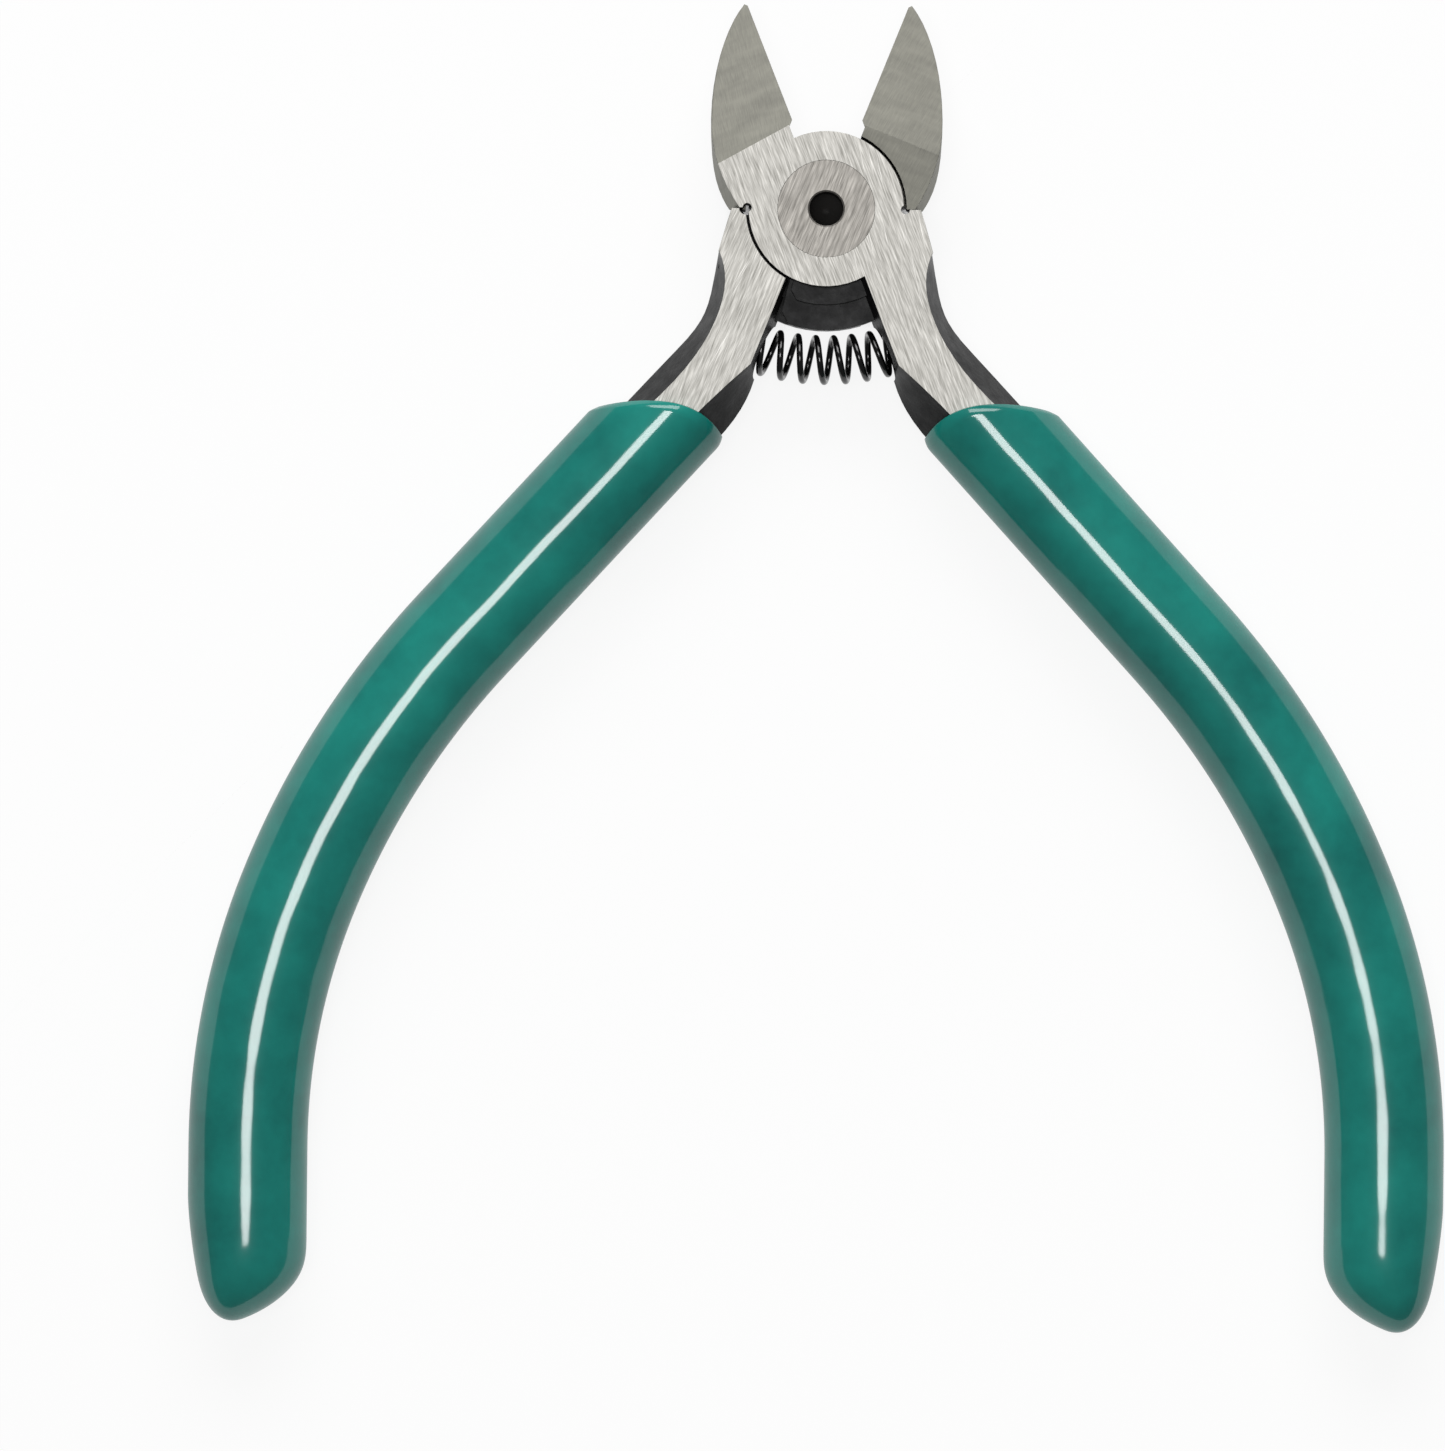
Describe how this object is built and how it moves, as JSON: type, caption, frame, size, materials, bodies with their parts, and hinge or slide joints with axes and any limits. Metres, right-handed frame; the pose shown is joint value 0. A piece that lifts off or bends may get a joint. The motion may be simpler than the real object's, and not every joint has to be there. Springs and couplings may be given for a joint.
{
  "type": "flush cutter",
  "caption": "Flush cutter with two lapped levers on a flush rivet, a bowed coil return spring under the joint and dipped vinyl sleeves on curved handles.",
  "frame": {"origin": "on the rivet's axis, at the flat back of the lap joint", "axes": "+Y towards the cutting tips, +Z along the rivet out of the front of the joint, +X to the right as seen from the front"},
  "size_m": [0.0974, 0.1025, 0.0092],
  "materials": {
    "ground_steel": "ground faces with fine parallel scratches, black oxide left on the forged flanks",
    "rivet_steel": "ground flush with the joint",
    "spring_steel": "black oxide, lightly oiled",
    "sleeve_vinyl": "glossy dipped vinyl, teal green"
  },
  "bodies": {
    "left_half": {"left_lever": "ground_steel", "pivot_rivet": "rivet_steel", "left_grip": "sleeve_vinyl", "return_spring": "spring_steel"},
    "right_half": {"right_lever": "ground_steel", "right_grip": "sleeve_vinyl"}
  },
  "joints": [
    {"name": "rivet_pivot", "type": "hinge", "parent": "left_half", "child": "right_half", "pos_m": [0, 0, 0], "axis": [0, 0, -1], "range_deg": [0, 43], "stiffness_Nm_per_rad": 0.3, "springref_deg": -9.17, "deforming": ["return_spring"]}
  ]
}
